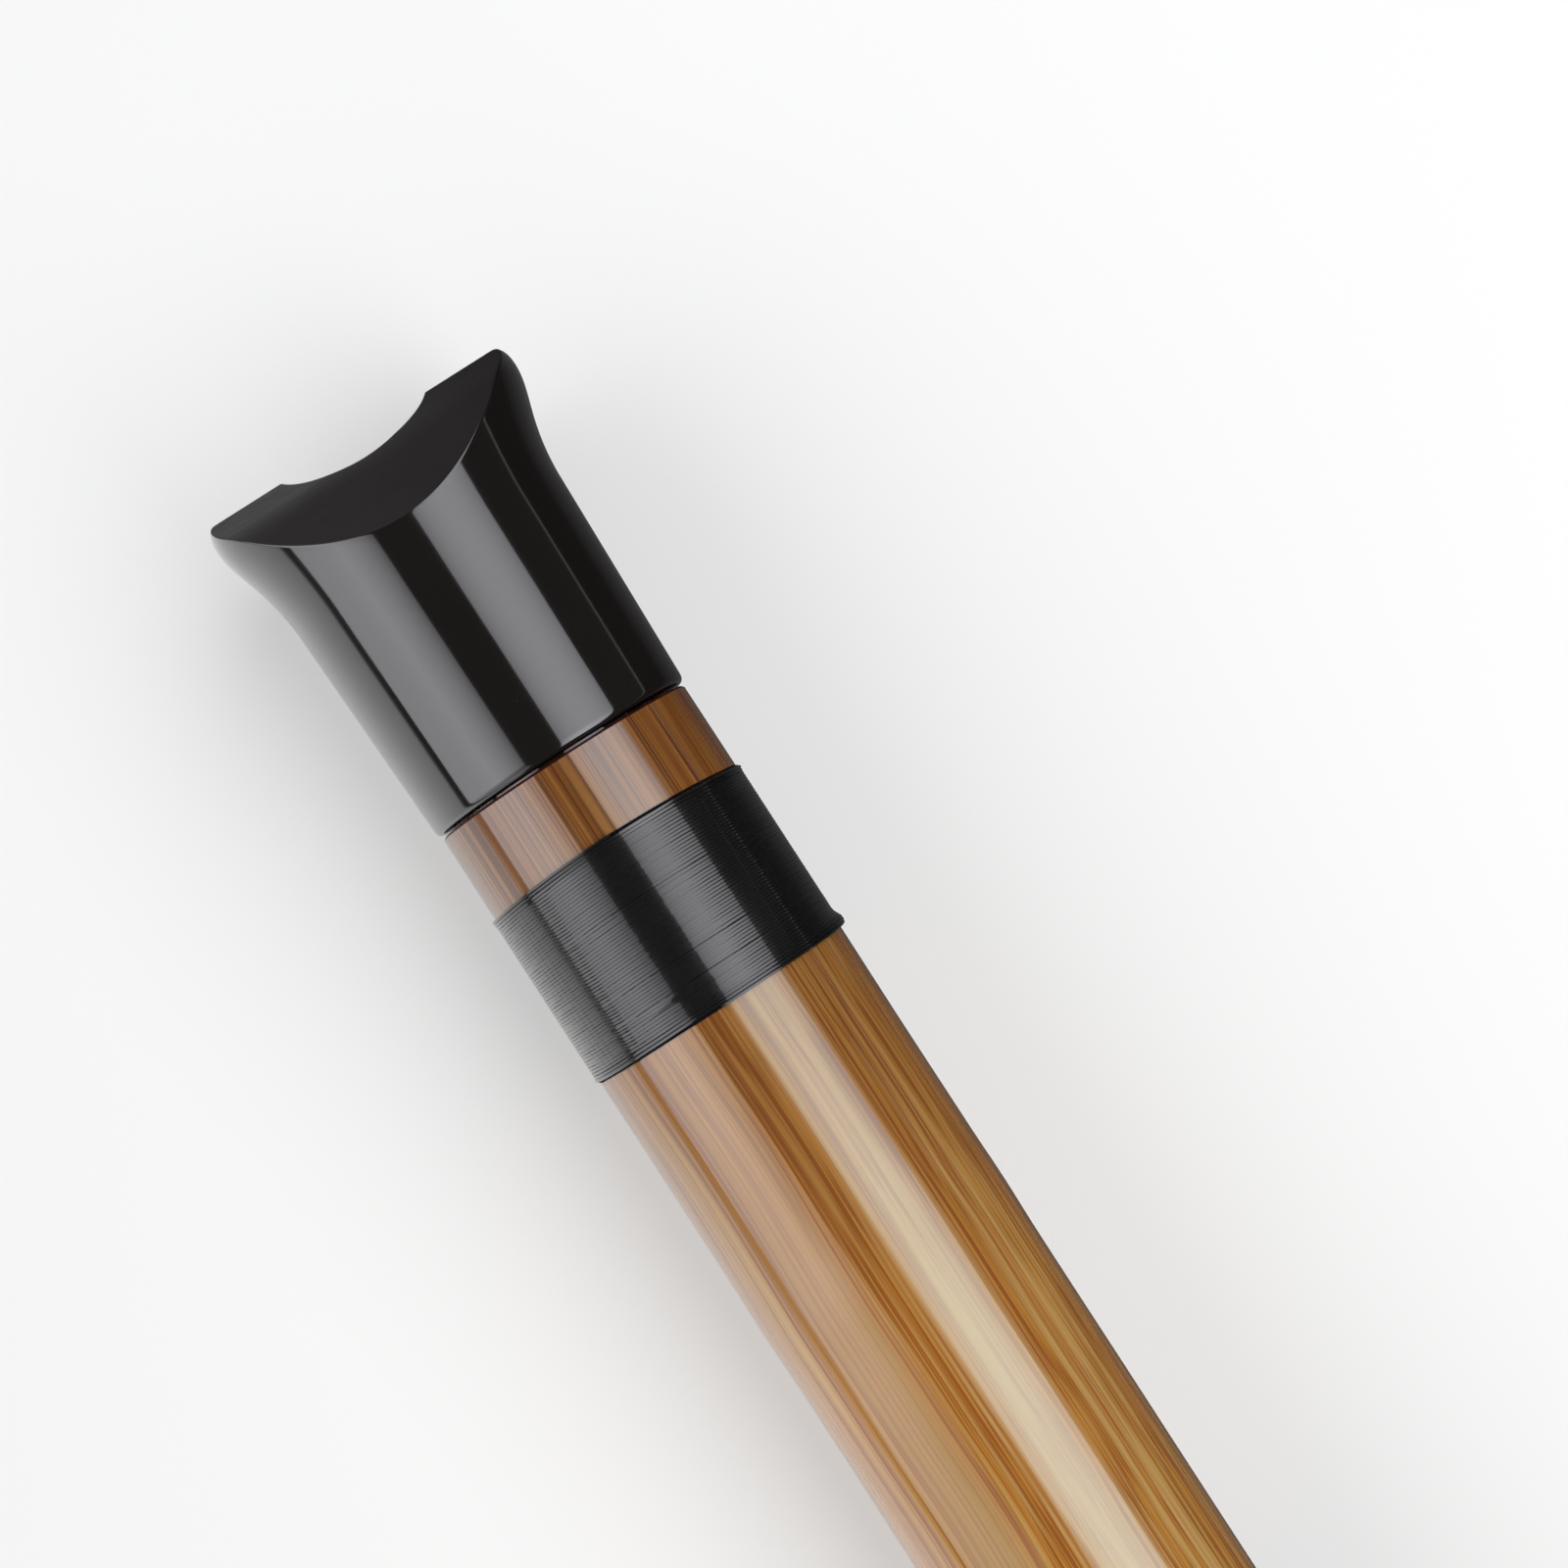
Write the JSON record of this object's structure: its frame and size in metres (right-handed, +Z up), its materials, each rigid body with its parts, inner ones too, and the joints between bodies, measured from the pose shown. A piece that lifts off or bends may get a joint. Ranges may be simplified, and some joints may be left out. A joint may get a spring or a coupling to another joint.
{
  "type": "shakuhachi",
  "caption": "End-blown bamboo flute in two sections, with a flared black mouthpiece, a middle joint, finger holes and black thread bindings.",
  "frame": {"origin": "under the middle of the flute's length, on the surface it lies on", "axes": "+X along the bore from the mouthpiece to the foot, +Z up through the blowing edge and the front holes, +Y across the flute"},
  "size_m": [0.545, 0.0396, 0.0362],
  "materials": {
    "black_resin": "polished gloss black, satin on the blowing face",
    "lacquered_bamboo": "glossy clear lacquer over fine lengthwise fibre",
    "black_lacquer": "gloss",
    "black_thread": "close turns of smooth lacquered thread",
    "waxed_thread": "waxed thread"
  },
  "bodies": {
    "upper_section": {"mouthpiece": "black_resin", "upper_tube": "lacquered_bamboo", "joint_tenon": "black_resin", "tenon_lapping": "waxed_thread", "head_binding": "black_thread", "upper_binding": "black_thread", "upper_joint_binding": "black_thread", "upper_joint_ring": "black_lacquer"},
    "lower_section": {"lower_tube": "lacquered_bamboo", "lower_joint_binding": "black_thread", "lower_binding": "black_thread", "foot_binding": "black_thread", "lower_joint_ring": "black_lacquer"}
  },
  "joints": [
    {"name": "middle_joint_slide", "type": "slide", "parent": "upper_section", "child": "lower_section", "axis": [1, 0, 0], "range_m": [0, 0.02]}
  ]
}
